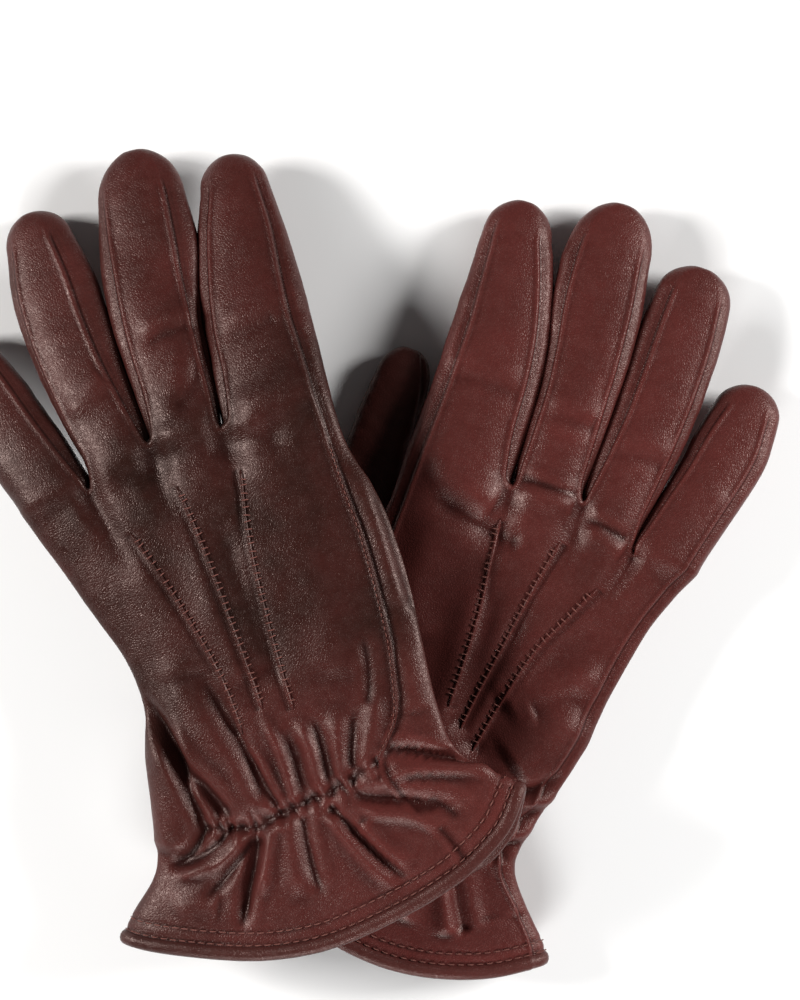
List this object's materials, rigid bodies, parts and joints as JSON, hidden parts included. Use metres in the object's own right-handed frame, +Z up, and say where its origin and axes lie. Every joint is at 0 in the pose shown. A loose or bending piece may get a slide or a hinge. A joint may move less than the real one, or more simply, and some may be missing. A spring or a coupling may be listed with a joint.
{
  "type": "leather gloves",
  "caption": "Pair of lined leather dress gloves crossed on a table, backs up, with fourchetted fingers, raised points, an elasticated wrist and flared bound cuffs.",
  "frame": {"origin": "centre of the underside of the pair as it lies on a table, one glove crossed over the other", "axes": "+Z up out of the table and out of the backs of the hands; +Y roughly from the cuffs to the fingertips; +X to the side of the right-hand glove fingertips"},
  "size_m": [0.2684, 0.268, 0.0493],
  "materials": {
    "leather": "satin smooth nappa, dark burgundy brown",
    "fourchette_leather": "satin smooth nappa",
    "binding": "satin, folded over the edge",
    "lining": "fine knitted lining",
    "elastic": "woven elastic tape",
    "thread": "waxed sewing thread"
  },
  "bodies": {
    "right_thumb": {"right_thumb_inner": "leather", "right_thumb_outer": "leather", "right_thumb_lining": "lining"},
    "right_index": {"right_index_lining": "lining", "right_index_back": "leather", "right_index_palm": "leather", "right_index_little_side_fourchette": "fourchette_leather"},
    "right_middle": {"right_middle_lining": "lining", "right_middle_back": "leather", "right_middle_palm": "leather", "right_middle_thumb_side_fourchette": "fourchette_leather", "right_middle_little_side_fourchette": "fourchette_leather"},
    "right_ring": {"right_ring_lining": "lining", "right_ring_back": "leather", "right_ring_palm": "leather", "right_ring_thumb_side_fourchette": "fourchette_leather", "right_ring_little_side_fourchette": "fourchette_leather"},
    "right_little": {"right_little_lining": "lining", "right_little_back": "leather", "right_little_palm": "leather", "right_little_thumb_side_fourchette": "fourchette_leather"},
    "right_hand": {"right_back_panel": "leather", "right_palm_panel": "leather", "right_hand_lining": "lining", "right_wrist_elastic": "elastic", "right_hem_binding": "binding", "right_hem_topstitching": "thread", "right_raised_points": "leather", "right_index_side_seam": "leather"},
    "left_thumb": {"left_thumb_inner": "leather", "left_thumb_outer": "leather", "left_thumb_lining": "lining"},
    "left_index": {"left_index_lining": "lining", "left_index_back": "leather", "left_index_palm": "leather", "left_index_little_side_fourchette": "fourchette_leather"},
    "left_middle": {"left_middle_lining": "lining", "left_middle_back": "leather", "left_middle_palm": "leather", "left_middle_thumb_side_fourchette": "fourchette_leather", "left_middle_little_side_fourchette": "fourchette_leather"},
    "left_ring": {"left_ring_lining": "lining", "left_ring_back": "leather", "left_ring_palm": "leather", "left_ring_thumb_side_fourchette": "fourchette_leather", "left_ring_little_side_fourchette": "fourchette_leather"},
    "left_little": {"left_little_lining": "lining", "left_little_back": "leather", "left_little_palm": "leather", "left_little_thumb_side_fourchette": "fourchette_leather"},
    "left_hand": {"left_back_panel": "leather", "left_palm_panel": "leather", "left_hand_lining": "lining", "left_wrist_elastic": "elastic", "left_hem_binding": "binding", "left_hem_topstitching": "thread", "left_raised_points": "leather", "left_index_side_seam": "leather"}
  },
  "joints": [
    {"name": "right_index_curl", "type": "hinge", "parent": "right_hand", "child": "right_index", "pos_m": [0.03013, 0.02443, 0.0111], "axis": [-0.9537, 0.3007, 0], "range_deg": [0, 70]},
    {"name": "right_middle_curl", "type": "hinge", "parent": "right_hand", "child": "right_middle", "pos_m": [0.0577, 0.01574, 0.0111], "axis": [-0.9537, 0.3007, 0], "range_deg": [0, 70]},
    {"name": "right_ring_curl", "type": "hinge", "parent": "right_hand", "child": "right_ring", "pos_m": [0.07801, 0.00933, 0.0111], "axis": [-0.9537, 0.3007, 0], "range_deg": [0, 70]},
    {"name": "right_little_curl", "type": "hinge", "parent": "right_hand", "child": "right_little", "pos_m": [0.09909, 0.00269, 0.0111], "axis": [-0.9537, 0.3007, 0], "range_deg": [0, 70]},
    {"name": "right_thumb_swing", "type": "hinge", "parent": "right_hand", "child": "right_thumb", "pos_m": [0.00508, -0.04107, 0.0111], "axis": [0, 0, 1], "range_deg": [0, 20]},
    {"name": "left_glove_lift", "type": "slide", "parent": "right_hand", "child": "left_hand", "axis": [0, 0, 1], "range_m": [0, 0.12]},
    {"name": "left_index_curl", "type": "hinge", "parent": "left_hand", "child": "left_index", "pos_m": [-0.0212, 0.04124, 0.0299], "axis": [-0.954, -0.2556, -0.1564], "range_deg": [0, 70]},
    {"name": "left_middle_curl", "type": "hinge", "parent": "left_hand", "child": "left_middle", "pos_m": [-0.04934, 0.0337, 0.02528], "axis": [-0.954, -0.2556, -0.1564], "range_deg": [0, 70]},
    {"name": "left_ring_curl", "type": "hinge", "parent": "left_hand", "child": "left_ring", "pos_m": [-0.07119, 0.02784, 0.0217], "axis": [-0.954, -0.2556, -0.1564], "range_deg": [0, 70]},
    {"name": "left_little_curl", "type": "hinge", "parent": "left_hand", "child": "left_little", "pos_m": [-0.09466, 0.02155, 0.01785], "axis": [-0.954, -0.2556, -0.1564], "range_deg": [0, 70]},
    {"name": "left_thumb_swing", "type": "hinge", "parent": "left_hand", "child": "left_thumb", "pos_m": [0.00109, -0.02518, 0.0338], "axis": [0.1627, -0.0034, -0.9867], "range_deg": [0, 35]}
  ]
}
